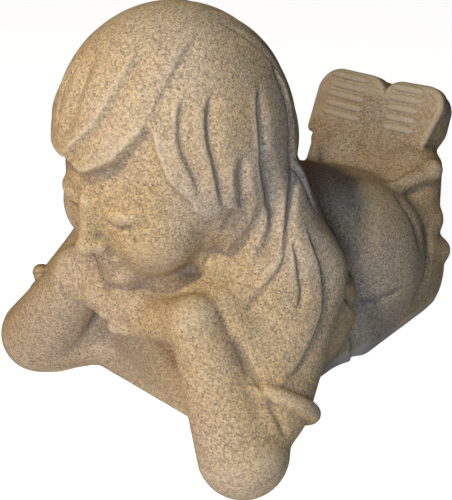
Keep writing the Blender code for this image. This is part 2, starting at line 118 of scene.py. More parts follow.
class Slab:
    # a block with rounded edges
    def __init__(self, centre, half, rounding, turn=None):
        self.centre, self.half, self.rounding = np.array(centre, float), np.array(half, float), rounding
        self.turn = np.array(turn or Matrix.Identity(3), float)
        self.reach = np.linalg.norm(self.half)

    def depth(self, points):
        away = np.abs((points - self.centre) @ self.turn) - self.half + self.rounding
        outside = np.linalg.norm(np.maximum(away, 0), axis=1)
        return outside + np.minimum(away.max(axis=1), 0) - self.rounding

    def block(self, bm):
        bmesh.ops.create_cube(bm, size=2, matrix=placed(self.centre, self.turn, self.half))


class Plate(Slab):
    # a sole: round corners at the toe, nearly square at the heel, and wider towards the toe
    heelCorner = 0.03

    def __init__(self, centre, half, corner, taper, rounding, turn=None):
        super().__init__(centre, half, rounding, turn)
        self.corner, self.taper = corner, taper

    def depth(self, points):
        local = (points - self.centre) @ self.turn
        toe = np.clip(local[:, 2] / self.half[2], -1, 1)
        corner = self.heelCorner + (self.corner - self.heelCorner) * ease(toe + 0.5)
        away = np.abs(local) - self.half
        away[:, 0] -= self.taper * toe
        across = away[:, (0, 2)] + corner[:, None]
        outside = np.linalg.norm(np.maximum(across, 0), axis=1)
        flat = outside + np.minimum(across.max(axis=1), 0) - corner
        away = np.stack([flat, away[:, 1]], axis=1) + self.rounding
        outside = np.linalg.norm(np.maximum(away, 0), axis=1)
        return outside + np.minimum(away.max(axis=1), 0) - self.rounding


class Ring:
    # a rolled edge round a limb, started as a circle of beads
    def __init__(self, centre, axis, radius, thickness):
        self.centre, self.axis = np.array(centre, float), np.array(Vector(axis).normalized(), float)
        self.radius, self.thickness = radius, thickness
        self.reach = radius + thickness

    def depth(self, points):
        local = points - self.centre
        along = local @ self.axis
        out = np.sqrt(np.maximum((local**2).sum(axis=1) - along**2, 0)) - self.radius
        return np.hypot(along, out) - self.thickness

    def block(self, bm):
        turn = Vector(self.axis).to_track_quat("Z", "Y").to_matrix().to_4x4()
        place = Matrix.Translation(self.centre) @ turn
        beads = 24
        for step in range(beads):
            spin = Matrix.Rotation(step * math.tau / beads, 4, "Z")
            bead = place @ spin @ Matrix.Translation((self.radius, 0, 0))
            bmesh.ops.create_icosphere(bm, subdivisions=2, radius=self.thickness * 1.2, matrix=bead)


def melt(one, other, width):
    # joins two depths with a fillet of that width
    overlap = np.maximum(width - np.abs(one - other), 0) / width
    return np.minimum(one, other) - overlap**2 * width / 4


# Body. Each part yields its lumps with the width of the fillet that melts them into the rest

# The child's joints, given on its left side. Each wrist has a place of its own
figure = dict(
    elbow=(0.618, 0.0, 0.15),
    rightWrist=(0.30, 0.03, 0.57),
    leftWrist=(0.36, 0.03, 0.60),
    shoulder=(0.43, 0.52, 0.62),
    cuff=(0.605, 0.165, 0.28),
    hip=(0.22, 1.34, 0.25),
    knee=(0.23, 1.65, 0.20),
    ankle=(0.20, 1.77, 0.60),
)
joints = (Vector(place) for place in figure.values())
elbow, rightWrist, leftWrist, shoulder, cuff, hip, knee, ankle = joints


def torso():
    # ribs and belly, and the block that they lie on
    yield Ball((0, 0.54, 0.38), (0.46, 0.38, 0.40)), 0.1
    yield Ball((0, 0.92, 0.22), (0.42, 0.55, 0.36)), 0.1
    yield Slab((0, 0.90, 0.08), (0.435, 0.765, 0.20), 0.16), 0.1
    yield Slab((0, 1.33, 0.09), (0.485, 0.48, 0.21), 0.20), 0.1
    # chest, up to the neck and the hands
    yield Ball((0, 0.32, 0.46), (0.32, 0.26, 0.24)), 0.08
    yield Ball((0, 0.27, 0.30), (0.40, 0.19, 0.27)), 0.06
    for side in (left, right):
        inner, outer = mirrored((0.10, 0.20, 0.54), side), mirrored((0.38, 0.28, 0.60), side)
        yield Limb(inner, outer, 0.12, 0.13), 0.06
    yield Limb((0.0, 0.12, 0.58), (0.33, 0.17, 0.615), 0.09, 0.09), 0.04
    for side in (left, right):
        yield Ball(mirrored((0.39, 0.66, 0.40), side), (0.20, 0.24, 0.30)), 0.12    # side of the chest


# Hem flutes of the smock round each thigh: radius at the middle, radius at the ends, three places
hemFolds = (
    (0.044, 0.03, (0.24, 1.50, 0.60), (0.34, 1.72, 0.665), (0.26, 1.86, 0.64)),
    (0.070, 0.04, (0.29, 1.52, 0.48), (0.335, 1.73, 0.39), (0.24, 1.82, 0.34)),
    (0.055, 0.04, (0.38, 1.53, 0.36), (0.41, 1.73, 0.24), (0.30, 1.82, 0.20)),
)


def seat():
    for side in (left, right):
        yield Ball(mirrored((0.21, 1.29, 0.34), side), (0.27, 0.37, 0.34)), 0.1
        yield Limb(mirrored(hip, side), mirrored(knee, side), 0.27, 0.21), 0.1
    yield Ball((0, 1.27, 0.40), (0.32, 0.38, 0.275)), 0.1
    # between the thighs and between the ankles, where a mould leaves the stone whole
    yield Ball((0, 1.52, 0.42), (0.37, 0.24, 0.2)), 0.08
    yield Ball((0, 1.76, 0.60), (0.22, 0.11, 0.1)), 0.05


def legs():
    for side in (left, right):
        yield Limb(mirrored(knee, side), mirrored(ankle, side), 0.20, 0.15), 0.06
        for thick, thin, *fold in hemFolds:
            middle, end = mirrored(fold[1], side), mirrored(fold[2], side)
            yield Limb(mirrored(fold[0], side), middle, thin, thick), 0.035
            yield Limb(middle, end, thick, thin), 0.035


def arms():
    for side in (left, right):
        yield Limb(mirrored(shoulder, side), mirrored(elbow, side), 0.18, 0.16), 0.06
    yield Limb((-0.56, 0.06, 0.12), (-0.34, 0.3, 0.16), 0.15, 0.15), 0.08   # right elbow to the chest
    yield Limb((0.40, 0.15, 0.62), (0.57, 0.15, 0.40), 0.08, 0.10), 0.05    # behind the left forearm


def sleeves():
    for side in (left, right):
        yield Limb(mirrored(shoulder, side), mirrored(cuff, side), 0.22, 0.16), 0.06
        yield Ring(mirrored(cuff, side), mirrored(elbow - shoulder, side), 0.168, 0.036), 0.01


def forearms():
    # added last and barely melted in, so that they stay clear of the hair and the sleeves
    yield Limb(mirrored(elbow, right), mirrored(rightWrist, right), 0.178, 0.115), 0.012
    yield Limb(elbow, leftWrist, 0.178, 0.10), 0.012


def hands():
    yield Limb(mirrored(rightWrist, right), (-0.13, 0.02, 0.555), 0.12, 0.095), 0.04
    yield Limb((-0.13, 0.02, 0.555), (0.06, 0.01, 0.56), 0.095, 0.06), 0.03
    yield Limb(leftWrist, (0.10, 0.03, 0.51), 0.10, 0.08), 0.03
    # the tips of two fingers of the left hand, under the right palm
    for reach, height, thick in ((-0.06, 0.52, 0.04), (-0.01, 0.468, 0.036)):
        yield Limb((0.12, 0.02, height + 0.01), (reach, -0.045, height), thick * 1.3, thick), 0.015


# Shoes, with the soles up

shoePair = dict(
    soles=((0.43, 0.0, right), (0.30, 8.0, left)),  # width, turn about the upright, side it lies on
    soleLength=0.36,
    lean=24.0,                  # degrees back from upright
    heel=(0, 1.69, 0.70),       # between the heels, at the lower end of the soles
    toeSpread=(0.0, 0.045),     # how much wider each sole is at the toe, on each edge
    toeCorner=0.13,
    ribCount=5,
    ribPitch=0.050,
    ribThickness=0.020,
    ribSunk=0.2,                # of the thickness
    firstRib=0.125,             # from the heel
    ribLength=(0.25, 0.18),
    ribShift=(-0.025, -0.035),  # off the middle of each sole
)


def soleFrame(width, turnOut, side):
    # x runs across the sole and z towards the toe, from the middle of its heel end
    turn = turned(turnOut, "Z") @ turned(-shoePair["lean"], "X")
    return turn, Vector(shoePair["heel"]) + turn @ Vector((side * width / 2, 0, 0))


def shoes():
    length = shoePair["soleLength"]
    for (width, turnOut, side), spread in zip(shoePair["soles"], shoePair["toeSpread"]):
        turn, heel = soleFrame(width, turnOut, side)
        half = width / 2 - 0.002

        def at(x, y, z):
            return heel + turn @ Vector((x, y, z))

        sole = (half, 0.05, length / 2)
        yield Plate(at(0, 0.05, length / 2), sole, shoePair["toeCorner"], spread, 0.025, turn), 0.012
        # upper at the toe, upper at the instep, heel
        yield Slab(at(0, 0.15, 0.20), (half + 0.01, 0.12, 0.15), 0.11, turn), 0.03
        yield Slab(at(0, 0.16, 0.05), (half - 0.035, 0.12, 0.18), 0.08, turn), 0.04
        yield Slab(at(0, 0.17, -0.06), (half - 0.01, 0.12, 0.12), 0.06, turn), 0.02
        if side == left:    # between the heels
            yield Slab(at(0.02 - width / 2, 0.10, 0.02), (0.09, 0.095, 0.13), 0.06, turn), 0.03


# Head and face

head = dict(centre=(-0.005, 0.315, 1.105), bow=18.0, tilt=5.0)
headTurn = turned(head["tilt"], "Y") @ turned(head["bow"], "X")


def onHead(x, y, z):
    # the head's own frame: nose towards -y, crown towards +z
    return Vector(head["centre"]) + headTurn @ Vector((x, y, z))


def skull():
    # brain case, cheeks, jaw, neck, and the corners between the jaw and the neck
    yield Ball(onHead(0, 0.02, 0.08), (0.375, 0.43, 0.46), headTurn), 0.03
    yield Ball(onHead(0, -0.14, -0.05), (0.335, 0.32, 0.34), headTurn), 0.06
    yield Ball(onHead(0, -0.27, -0.22), (0.21, 0.165, 0.14), headTurn), 0.08
    yield Limb(onHead(0, 0.08, -0.20), (0, 0.50, 0.55), 0.2, 0.24), 0.08
    for side in (left, right):
        yield Ball(mirrored((0.27, 0.26, 0.75), side), (0.08, 0.09, 0.07)), 0.05


def face():
    for side in (left, right):
        # cheek, closed lid, nostril and half of the upper lip
        yield Ball(onHead(0.165 * side, -0.31, -0.12), (0.13, 0.125, 0.13), headTurn), 0.08
        lid = headTurn @ turned(20 * side, "Z")
        yield Ball(onHead(0.138 * side, -0.398, 0.045), (0.074, 0.042, 0.044), lid), 0.018
        yield Ball(onHead(0.04 * side, -0.475, -0.098), (0.028, 0.034, 0.025), headTurn), 0.012
        yield Ball(onHead(0.03 * side, -0.447, -0.178), (0.056, 0.022, 0.016), headTurn), 0.016
    # bridge and tip of the nose, lower lip and chin
    yield Limb(onHead(0, -0.445, 0.08), onHead(0, -0.505, -0.075), 0.023, 0.032), 0.045
    yield Ball(onHead(0, -0.518, -0.09), (0.034, 0.034, 0.032), headTurn), 0.02
    yield Ball(onHead(0, -0.446, -0.214), (0.062, 0.024, 0.019), headTurn), 0.016
    yield Ball(onHead(0, -0.415, -0.292), (0.095, 0.07, 0.06), headTurn), 0.06


# Hair. Places on it are degrees round the head to the child's left, and degrees up

hair = dict(
    centre=(0, 0.02, 0.03),
    radii=(0.452, 0.495, 0.55),
    overFace=0.085,     # how far it stands off the face
    edge=0.032,         # width of that step
    fade=0.26,          # how far in the temple sinks to its full depth
    temple=(12, 34),    # degrees round, where that slower fade sets in
    gentle=0.62,        # its share of the step
    reach=0.48,         # mean distance from the middle of the head
    # the edge of the face: the fringe, the right side, under the chin, the left side
    hairline=(
        (42, 42), (36, 37), (29, 33), (22, 28), (13, 24), (3, 20), (-13, 21), (-30, 19),
        (-52, 14), (-70, 6), (-80, -5), (-84, -25), (-84, -70),
        (56, -70), (60, -45), (64, -30), (67, -20), (70, -15), (75, -10), (74, -4),
        (68, -1), (60, -2), (55, 3), (55, 7), (50, 14), (47, 19), (45, 29), (44, 37),
    ),
)
hairBall = Ball(onHead(*hair["centre"]), hair["radii"], headTurn)


def onHair(around, up):
    around, up = math.radians(around), math.radians(up)
    level = math.cos(up)
    direction = np.array((level * math.sin(around), -level * math.cos(around), math.sin(up)))
    return hairBall.centre + hairBall.turn @ (hairBall.radii * direction)


# Strands below the hair cap: upper end, lower end, their radii and the fillet
strands = (
    ((0.29, 0.48, 1.0), (0.40, 0.46, 0.70), 0.14, 0.18, 0.08),
    ((0.40, 0.42, 0.70), (0.50, 0.31, 0.42), 0.20, 0.135, 0.08),
    ((0.2, 0.54, 0.92), (0.28, 0.66, 0.60), 0.22, 0.2, 0.1),
    ((0.33, 0.41, 1.10), (0.36, 0.41, 0.86), 0.11, 0.11, 0.05),
)


def fallingHair():
    for side in (left, right):
        for upper, lower, upperRadius, lowerRadius, fillet in strands:
            yield Limb(mirrored(upper, side), mirrored(lower, side), upperRadius, lowerRadius), fillet
    yield Limb((0, 0.54, 0.95), (0, 0.76, 0.66), 0.28, 0.24), 0.1


def outlineDistance(points, corners):
    # distance to a flat outline, negative inside it
    best, inside = np.full(len(points), 99.0), np.zeros(len(points), bool)
    for start, end in zip(corners, np.roll(corners, -1, axis=0)):
        side = end - start
        share = np.clip((points - start) @ side / (side @ side), 0, 1)
        best = np.minimum(best, np.linalg.norm(points - start - share[:, None] * side, axis=1))
        if start[1] != end[1]:
            crossing = start[0] + (points[:, 1] - start[1]) * side[0] / side[1]
            level = (start[1] > points[:, 1]) != (end[1] > points[:, 1])
            inside ^= level & (points[:, 0] < crossing)
    return np.where(inside, -best, best)


def hairCap(points):
    # the hair over the skull, stepping down to the face inside the hairline
    local = (points - hairBall.centre) @ hairBall.turn / hairBall.radii
    around = np.degrees(np.arctan2(local[:, 0], -local[:, 1]))
    up = np.degrees(np.arctan2(local[:, 2], np.hypot(local[:, 0], local[:, 1])))
    flat = np.stack([around, up], axis=1)
    degrees = outlineDistance(flat, np.array(hair["hairline"], float))
    intoFace = -np.radians(degrees) * hair["reach"]
    # past the temple most of the step is drawn out into a gentle slope
    nearest, furthest = hair["temple"]
    gentle = hair["gentle"] * (1 - ease((furthest - around) / (furthest - nearest)))
    sharp = (1 - gentle) * ease(intoFace / hair["edge"] + 0.3)
    step = hair["overFace"] * (sharp + gentle * ease(intoFace / hair["fade"]))
    return hairBall.depth(points) + step


# Carving. Each line: its path, width, depth, lean and lip. A lean above 1 or below -1 draws
# out the slope on one side, and the lip is how far the other side stands up beside the cut

def smoothPath(corners, steps=6):
    knots = [Vector(c) for c in corners]
    knots = [2 * knots[0] - knots[1], *knots, 2 * knots[-1] - knots[-2]]
    path = []
    for a, b, c, d in zip(knots, knots[1:], knots[2:], knots[3:]):
        for step in range(steps):
            t = step / steps
            bend = (2 * a - 5 * b + 4 * c - d) * t**2 + (3 * b - a - 3 * c + d) * t**3
            path.append(0.5 * (2 * b + (c - a) * t + bend))
    return np.array([*path, knots[-2]], float)


def headCore(_):
    return hairBall.centre


def bodyCore(place):
    return np.array((place[0] * 0.5, place[1], 0.3))


def faceCore(_):
    return np.array(onHead(0, 0, -0.1))


def handCore(y):
    # straight through the hands, to that place behind them
    return lambda place: np.array((place[0], y, 0.5))


def facing(*outward):
    # a core straight below each place, for lines on a side that faces that way
    return lambda place: place - np.array(outward)


class Cut:
    # a groove, seen from a core inside the piece so that its two sides can differ
    reachBeside = 0.16      # how far from the path the points are still measured

    def __init__(self, corners, core, width, depth, lean=1.0, lip=0.0):
        self.path = smoothPath(corners)
        self.core, self.width, self.depth, self.lean, self.lip = core, width, depth, lean, lip
        self.centre = (self.path.min(axis=0) + self.path.max(axis=0)) / 2
        self.reach = np.linalg.norm(self.path - self.centre, axis=1).max()

    def measure(self, points):
        # how far along the path each point is, how far beside it and how far from it
        best = np.full(len(points), 9.0)
        along, beside = np.zeros(len(points)), np.zeros(len(points))
        for index, (start, end) in enumerate(zip(self.path, self.path[1:])):
            axis = end - start
            share = np.clip((points - start) @ axis / (axis @ axis), 0, 1)
            away = points - start - share[:, None] * axis
            distance = (away**2).sum(axis=1)
            closer = distance < best
            sideways = np.cross(axis, (start + end) / 2 - self.core(start))
            sideways /= np.linalg.norm(sideways)
            best = np.where(closer, distance, best)
            along = np.where(closer, (index + share) / (len(self.path) - 1), along)
            beside = np.where(closer, away @ sideways, beside)
        return along, beside * np.sign(self.lean), np.sqrt(best)

    def press(self, points, depth):
        near = self.reachBeside
        found = np.flatnonzero(((points - self.centre) ** 2).sum(axis=1) < (self.reach + near) ** 2)
        along, beside, distance = self.measure(points[found])
        fade = ease(along / 0.2) * ease((1 - along) / 0.2) * ease((near - distance) / 0.06)
        spread = self.width * (0.5 + 0.5 * fade) * np.where(beside > 0, abs(self.lean), 1)
        pressed = self.depth * fade * np.exp(-((beside / spread) ** 2))
        raised = self.lip * fade * np.exp(-(((beside + 2.4 * self.width) / (1.4 * self.width)) ** 2))
        depth[0, found] = np.maximum(depth[0, found], pressed)
        depth[1, found] = np.maximum(depth[1, found], raised)


def crownLocks():
    def lock(path, *shape):
        return Cut([onHair(*corner) for corner in path], headCore, *shape)

    # over the brow
    yield lock(((-39, 60), (-34, 51), (-32, 41), (-20, 30)), 0.010, 0.012)
    yield lock(((-27, 67), (-15, 56), (-12, 49), (-11, 38), (-16, 28)), 0.022, 0.016, -1.5, 0.002)
    parting = ((47, 78), (32, 65), (23, 56), (15, 45), (6, 36), (-8, 25), (-16, 20))
    yield lock(parting, 0.008, 0.017, -5.0, 0.003)
    yield lock(((109, 65), (81, 62), (64, 56), (52, 49), (45, 43), (40, 40)), 0.009, 0.012, -5.0, 0.0)
    # round the left side
    temple = ((70, 49), (62, 43), (59, 38), (57, 32), (57, 25), (59, 16), (58, 4))
    yield lock(temple, 0.011, 0.017, -3.0, 0.002)
    yield lock(((85, 45), (75, 38), (70, 28), (69, 19), (68, 8), (67, -4)), 0.011, 0.018, -3.0, 0.002)
    yield lock(((84, 18), (79, 8), (77, -5), (72, -13), (66, -18)), 0.018, 0.022, 1.5, 0.003)
    overEar = ((111, 34), (101, 27), (95, 18), (90, 6), (90, -10), (92, -30))
    yield lock(overEar, 0.010, 0.020, -3.0, 0.003)
    yield lock(((134, 34), (126, 18), (116, 1), (115, -16), (110, -38)), 0.011, 0.022, 2.0, 0.003)
    # round the right side and the back
    yield lock(((-52, 60), (-46, 40), (-52, 24), (-58, 8)), 0.012, 0.022, 3.0, 0.004)
    yield lock(((-88, 58), (-74, 34), (-70, 12), (-68, -16)), 0.012, 0.022, 3.0, 0.004)
    yield lock(((-112, 46), (-100, 20), (-94, 0), (-92, -20)), 0.012, 0.022, 3.0, 0.004)
    yield lock(((138, 62), (135, 35), (134, 8), (134, -20)), 0.012, 0.020, -2.5, 0.004)
    yield lock(((165, 66), (160, 40), (158, 10), (158, -18)), 0.012, 0.020, -2.5, 0.004)
    yield lock(((-166, 66), (-168, 38), (-170, 8), (-171, -18)), 0.012, 0.020, 2.5, 0.004)
    yield lock(((-138, 62), (-140, 36), (-144, 8), (-145, -18)), 0.012, 0.020, 2.5, 0.004)


def neckLocks(side):
    beside, over = (0.8 * side, -0.55, 0.15), (0.62 * side, -0.55, 0.45)
    outside, behind = (0.85 * side, -0.3, 0.4), (0.2 * side, 0.8, 0.5)

    def lock(path, outward, width, depth, lean=1.0, lip=0.0):
        path = [mirrored(corner, side) for corner in path]
        return Cut(path, facing(*outward), width, depth, lean * side, lip)

    front = ((0.43, 0.32, 1.26), (0.44, 0.34, 1.13), (0.44, 0.36, 1.02), (0.45, 0.36, 0.92),
             (0.46, 0.30, 0.85), (0.43, 0.25, 0.78))
    back = ((0.38, 0.55, 1.32), (0.40, 0.54, 1.18), (0.43, 0.53, 1.07), (0.46, 0.48, 1.00),
            (0.49, 0.43, 0.93), (0.52, 0.37, 0.86), (0.54, 0.31, 0.78))
    jaw = ((0.44, 0.24, 1.10), (0.43, 0.25, 1.02), (0.41, 0.24, 0.95), (0.37, 0.22, 0.89),
           (0.31, 0.22, 0.82))
    yield lock(front, beside, 0.016, 0.032, -2.2)
    yield lock(back, beside, 0.012, 0.026, 2.0)
    yield lock(jaw, beside, 0.014, 0.022, -1.5)

    # the edge of the hair over the shoulder, and the locks inside it
    edge = ((0.52, 0.48, 0.92), (0.58, 0.47, 0.82), (0.63, 0.46, 0.71), (0.67, 0.41, 0.58),
            (0.70, 0.24, 0.46), (0.70, 0.09, 0.41))
    outer = ((0.50, 0.40, 0.90), (0.56, 0.38, 0.81), (0.59, 0.36, 0.74), (0.61, 0.35, 0.68),
             (0.61, 0.31, 0.61))
    inner = ((0.52, 0.37, 0.88), (0.54, 0.33, 0.81), (0.53, 0.29, 0.75), (0.50, 0.23, 0.69),
             (0.47, 0.18, 0.63))
    yield lock(edge, outside, 0.014, 0.018, -5.0)
    yield lock(outer, over, 0.011, 0.018, -1.5)
    yield lock(inner, over, 0.011, 0.018, -1.5)

    # down the back
    for path in (((0.12, 0.72, 1.05), (0.11, 0.88, 0.80), (0.14, 0.98, 0.64)),
                 ((0.34, 0.70, 0.95), (0.34, 0.80, 0.75), (0.40, 0.86, 0.60))):
        yield lock(path, behind, 0.016, 0.026, -2.0, 0.005)


def smockFolds(side):
    def fold(path, width, depth, lean=1.0, lip=0.0):
        path = [mirrored(corner, side) for corner in path]
        return Cut(path, bodyCore, width, depth, lean * side, lip)

    waist = ((0.63, 0.55, 0.70), (0.60, 0.70, 0.50), (0.52, 0.85, 0.28), (0.45, 0.94, 0.06),
             (0.43, 0.95, -0.1))
    thigh = ((0.31, 1.42, 0.64), (0.35, 1.45, 0.56), (0.37, 1.47, 0.49), (0.40, 1.47, 0.42),
             (0.45, 1.42, 0.34))
    bend = ((0.37, 1.66, 0.40), (0.41, 1.60, 0.36), (0.46, 1.54, 0.27), (0.50, 1.45, 0.17),
            (0.51, 1.33, 0.10))
    crease = ((0.42, 0.98, 0.29), (0.46, 1.05, 0.27), (0.48, 1.12, 0.25), (0.50, 1.20, 0.25),
              (0.51, 1.28, 0.265))
    yield fold(waist, 0.014, 0.022, -3.0, 0.002)
    yield fold(thigh, 0.034, 0.02)
    yield fold(bend, 0.028, 0.018, 1.5)
    yield fold(crease, 0.009, 0.016, -2.0)


def armEdges():
    # the cleft behind each forearm, and the lower edge of the right palm
    cleft = ((0.45, 0.12, 0.58), (0.49, 0.12, 0.52), (0.54, 0.12, 0.45), (0.58, 0.13, 0.39),
             (0.63, 0.13, 0.33), (0.68, 0.14, 0.25), (0.71, 0.14, 0.20))
    for side in (left, right):
        outward = (0.60 * side, -0.65, 0.47)
        yield Cut([mirrored(corner, side) for corner in cleft], facing(*outward), 0.012, 0.02)
    palm = ((-0.29, -0.11, 0.60), (-0.29, -0.10, 0.54), (-0.26, -0.09, 0.49), (-0.19, -0.09, 0.48),
            (-0.11, -0.09, 0.50))
    yield Cut(palm, handCore(0.15), 0.012, 0.022)


def backHem():
    hem = ((0.66, 0.55, 0.62), (0.50, 0.80, 0.62), (0.26, 0.97, 0.60), (0.0, 1.03, 0.60))
    path = [mirrored(corner, right) for corner in hem] + [Vector(corner) for corner in hem[-2::-1]]
    yield Cut(path, bodyCore, 0.014, 0.03, -5.0, 0.004)


def faceLines():
    # the edge of each lid and the fold over it, the mouth, and the groove above the lip
    for side in (left, right):
        def line(path, *shape):
            return Cut([onHead(x * side, y, z) for x, y, z in path], faceCore, *shape)

        yield line(((0.07, -0.45, 0.03), (0.14, -0.455, 0.007), (0.21, -0.43, 0.03)), 0.008, 0.014)
        yield line(((0.075, -0.43, 0.078), (0.14, -0.435, 0.098), (0.205, -0.40, 0.075)), 0.010, 0.008)
    mouth = ((-0.10, -0.44, -0.188), (0, -0.47, -0.197), (0.10, -0.44, -0.188))
    yield Cut([onHead(*corner) for corner in mouth], faceCore, 0.007, 0.009)
    groove = ((0, -0.47, -0.125), (0, -0.47, -0.145), (0, -0.468, -0.163))
    yield Cut([onHead(*corner) for corner in groove], faceCore, 0.012, 0.004)


def fingerLines():
    for height in (0.62, 0.59):
        middle, end = (-0.02, -0.055, height - 0.005), (0.06, -0.045, height - 0.012)
        yield Cut(((-0.10, -0.06, height), middle, end), handCore(0.1), 0.009, 0.010)


def pressedDepth(points, cuts):
    depth = np.zeros((2, len(points)))
    for cut in cuts:
        cut.press(points, depth)
    return depth[0] - depth[1]


def sculpt(points, lumps, late):
    # how far outside the clay each point is, negative inside it
    depth = np.full(len(points), 9.0)

    def add(shape, width):
        reach = shape.reach + width + 0.25
        found = np.flatnonzero(((points - shape.centre) ** 2).sum(axis=1) < reach**2)
        depth[found] = melt(depth[found], shape.depth(points[found]), width)

    for shape, width in lumps:
        add(shape, width)
    found = np.flatnonzero(((points - hairBall.centre) ** 2).sum(axis=1) < (hairBall.reach + 0.3) ** 2)
    depth[found] = melt(depth[found], hairCap(points[found]), 0.01)
    for shape, width in late:
        add(shape, width)
    return depth


def places(mesh, kind="co"):
    values = np.empty(len(mesh.vertices) * 3)
    mesh.vertices.foreach_get(kind, values)
    return values.reshape(-1, 3)


def remeshed(piece, grain):
    modifier = piece.modifiers.new("Skin", "REMESH")
    modifier.mode = "VOXEL"
    modifier.voxel_size = grain
    mesh = bpy.data.meshes.new_from_object(piece.evaluated_get(bpy.context.evaluated_depsgraph_get()))
    piece.modifiers.remove(modifier)
    return mesh


def thinned(piece, triangles):
    piece.data.calc_loop_triangles()
    modifier = piece.modifiers.new("Thin", "DECIMATE")
    modifier.ratio = min(1, triangles / len(piece.data.loop_triangles))
    mesh = bpy.data.meshes.new_from_object(piece.evaluated_get(bpy.context.evaluated_depsgraph_get()))
    piece.modifiers.remove(modifier)
    return mesh


def settled(mesh, lumps, late, rounds, cuts=()):
    # moves the skin onto the clay's surface, then presses the carving in along its slope
    points, step = places(mesh), 0.004
    for index in range(rounds):
        depth = sculpt(points, lumps, late)
        if index == 0 or not cuts:
            slope = np.stack([(sculpt(points + offset, lumps, late) - depth) / step
                              for offset in np.eye(3) * step], axis=1)
            steepness = np.maximum((slope**2).sum(axis=1), 0.2)
        points -= np.clip(depth, -0.05, 0.05)[:, None] * slope / steepness[:, None]
    if cuts:
        slope /= np.maximum(np.linalg.norm(slope, axis=1), 0.3)[:, None]
        points -= pressedDepth(points, cuts)[:, None] * slope
    mesh.vertices.foreach_set("co", points.ravel())
    mesh.update()


def cutFlat(mesh):
    bm = bmesh.new()
    bm.from_mesh(mesh)
    whole = (*bm.verts, *bm.edges, *bm.faces)
    ground, down = (0, 0, 0), (0, 0, -1)
    cut = bmesh.ops.bisect_plane(bm, geom=whole, plane_co=ground, plane_no=down, clear_outer=True)
    rim = [item for item in cut["geom_cut"] if isinstance(item, bmesh.types.BMEdge)]
    bmesh.ops.triangle_fill(bm, edges=rim, normal=down)
    bm.to_mesh(mesh)
    bm.free()


def markHollows(mesh, rounds=14, full=0.012):
    # how far each vertex lies below the skin around it, for painted shade in the hollows and a painted
    # highlight on the ridges
    points, normals = places(mesh), places(mesh, "normal")
    pairs = np.empty(len(mesh.edges) * 2, int)
    mesh.edges.foreach_get("vertices", pairs)
    one, other = pairs.reshape(-1, 2).T
    count = np.bincount(pairs, minlength=len(points))[:, None]
    smooth = points.copy()
    for _ in range(rounds):
        total = np.zeros_like(smooth)
        for axis in range(3):
            total[:, axis] = np.bincount(one, smooth[other, axis], len(points))
            total[:, axis] += np.bincount(other, smooth[one, axis], len(points))
        smooth = total / count
    below = ((smooth - points) * normals).sum(axis=1) / full
    attribute = mesh.attributes.new("hollow", "FLOAT", "POINT")
    attribute.data.foreach_set("value", np.clip(below, -1, 1))


def markForearmShadow(mesh, width=0.035):
    # painted shadow of the left forearm, in a streak that runs over the chest from the hands
    streak = ((0.0, 0.06, 0.42), (0.06, 0.07, 0.40), (0.13, 0.08, 0.35), (0.17, 0.10, 0.30))
    near = Cut(streak, headCore, 0, 0).measure(places(mesh))[2] / width
    attribute = mesh.attributes.new("stain", "FLOAT", "POINT")
    attribute.data.foreach_set("value", np.exp(-(near**2)))


def stoodInMetres(mesh):
    # head widths to metres, and where the middle of the clay's underside has to move to
    corners = places(mesh)
    middle = (corners.min(axis=0) + corners.max(axis=0)) / 2
    stand = Matrix.Scale(clayWork["headWidth"], 4) @ Matrix.Translation((-middle[0], -middle[1], 0))
    mesh.transform(stand)
    return stand


def childFigure(stone):
    parts = (torso, seat, legs, shoes, arms, sleeves, fallingHair, skull, face)
    lumps = [lump for part in parts for lump in part()]
    late = [*forearms(), *hands()]
    cuts = [*crownLocks(), *armEdges(), *backHem(), *faceLines(), *fingerLines()]
    for side in (left, right):
        cuts += [*neckLocks(side), *smockFolds(side)]
    bm = bmesh.new()
    for shape, _ in (*lumps, *late, (hairBall, 0)):
        shape.block(bm)
    mesh = bpy.data.meshes.new("childFigure")
    bm.to_mesh(mesh)
    bm.free()
    piece = bpy.data.objects.new("childFigure", mesh)
    bpy.context.collection.objects.link(piece)
    piece.data = remeshed(piece, clayWork["roughGrain"])
    settled(piece.data, lumps, late, 3)
    print("rough skin:", len(piece.data.vertices), "points")
    piece.data = remeshed(piece, clayWork["fineGrain"])
    settled(piece.data, lumps, late, 3, cuts)
    print("fine skin:", len(piece.data.vertices), "points")
    piece.data = thinned(piece, clayWork["triangles"])
    cutFlat(piece.data)
    markHollows(piece.data)
    markForearmShadow(piece.data)
    stand = stoodInMetres(piece.data)
    piece.data.name = "childFigure"
    piece.data.shade_smooth()
    piece.data.set_sharp_from_angle(angle=math.radians(70))
    piece.data.materials.append(stone)
    print("figure:", len(piece.data.polygons), "triangles")
    return piece, stand


# Ribs across the front half of each sole

